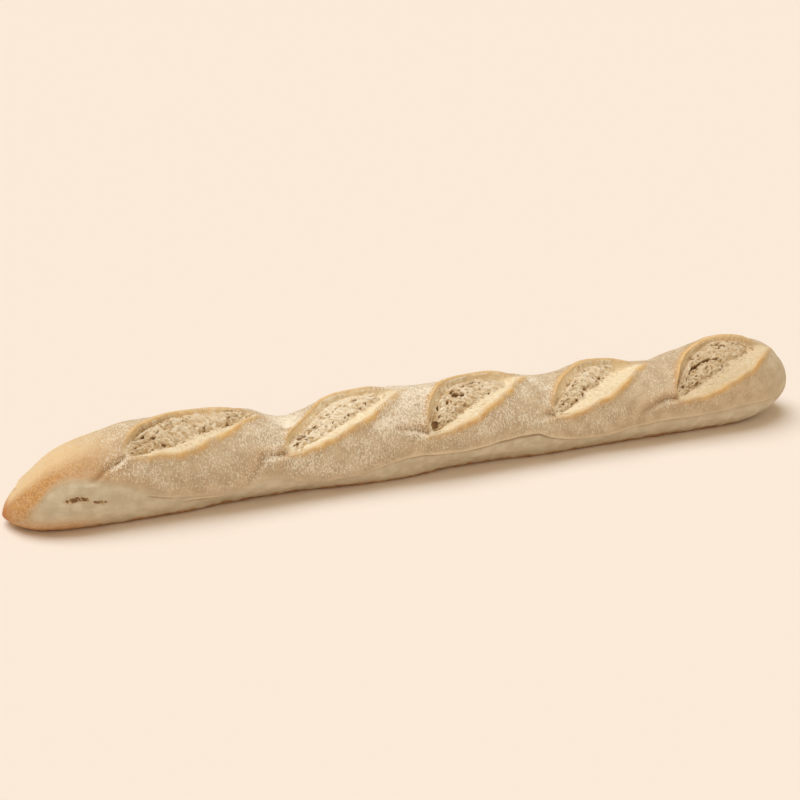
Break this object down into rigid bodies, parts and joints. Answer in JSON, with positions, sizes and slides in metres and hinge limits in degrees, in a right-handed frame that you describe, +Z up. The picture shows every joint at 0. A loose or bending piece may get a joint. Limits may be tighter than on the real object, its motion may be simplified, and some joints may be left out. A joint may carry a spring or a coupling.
{
  "type": "rustic baguette",
  "caption": "Long rustic baguette with a pointed tip, a blunt end, diagonal slashes that show torn crumb, a floury crust and a flat sole",
  "frame": {"origin": "middle of the flat sole, under the middle of the loaf's outline", "axes": "+X runs from the pointed tip to the blunt end, +Z is up, and the slashes lean towards -Y"},
  "size_m": [0.55, 0.0654, 0.0612],
  "materials": {
    "crust": "dry, matt, lightly baked bread crust dusted with flour; golden on the tip and the slash lips, cream where the crumb shows"
  },
  "bodies": {
    "root": {"loaf": "crust"}
  },
  "joints": []
}
